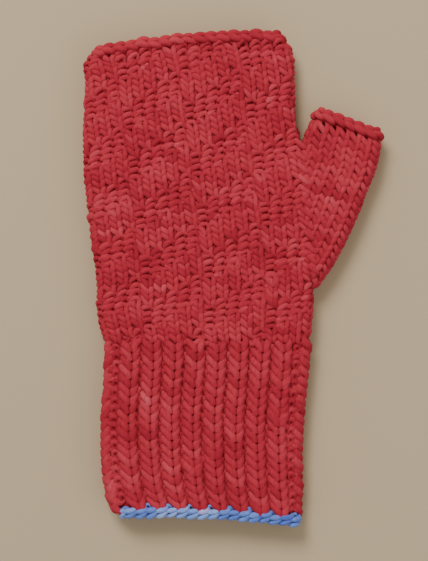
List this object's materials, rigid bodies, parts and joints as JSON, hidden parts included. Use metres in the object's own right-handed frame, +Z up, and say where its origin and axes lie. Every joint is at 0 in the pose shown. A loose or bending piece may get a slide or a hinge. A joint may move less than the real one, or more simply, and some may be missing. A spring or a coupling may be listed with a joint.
{
  "type": "fingerless mitt",
  "caption": "Hand-knitted fingerless mitt lying flat: ribbed cuff, textured palm and finger sections, thumb gusset with short thumb tube, and chained edges.",
  "frame": {"origin": "under the middle of the mitt's bounding box, on the surface that it lies on", "axes": "+X towards the thumb side, +Y from the cuff towards the fingers, +Z up out of the surface, through both layers of knitting"},
  "size_m": [0.1352, 0.2236, 0.012],
  "materials": {
    "red_wool": "soft hand-knitted single-ply wool, matt, slightly mottled brick red",
    "blue_wool": "soft wool, matt, light periwinkle blue that varies along the yarn"
  },
  "bodies": {
    "cuff": {"cuff_ribbing": "red_wool", "cast_on_edge": "blue_wool", "cast_on_yarn_end": "blue_wool"},
    "palm": {"palm_section": "red_wool", "palm_yarn_end": "red_wool"},
    "fingers": {"finger_section": "red_wool", "finger_bind_off_edge": "red_wool"},
    "thumb": {"thumb_gusset": "red_wool", "thumb_tube": "red_wool", "thumb_bind_off_edge": "red_wool", "thumb_yarn_end": "red_wool"}
  },
  "joints": [
    {"name": "wrist_bend", "type": "hinge", "parent": "cuff", "child": "palm", "pos_m": [-0.0115, -0.0275, 0.006], "axis": [1, 0, 0], "range_deg": [-60, 60]},
    {"name": "knuckle_bend", "type": "hinge", "parent": "palm", "child": "fingers", "pos_m": [-0.019, 0.072, 0.006], "axis": [1, 0, 0], "range_deg": [-60, 60]},
    {"name": "thumb_fold", "type": "hinge", "parent": "palm", "child": "thumb", "pos_m": [0.0366, -0.006, 0.006], "axis": [0.0995, -0.995, 0], "range_deg": [-60, 60]}
  ]
}
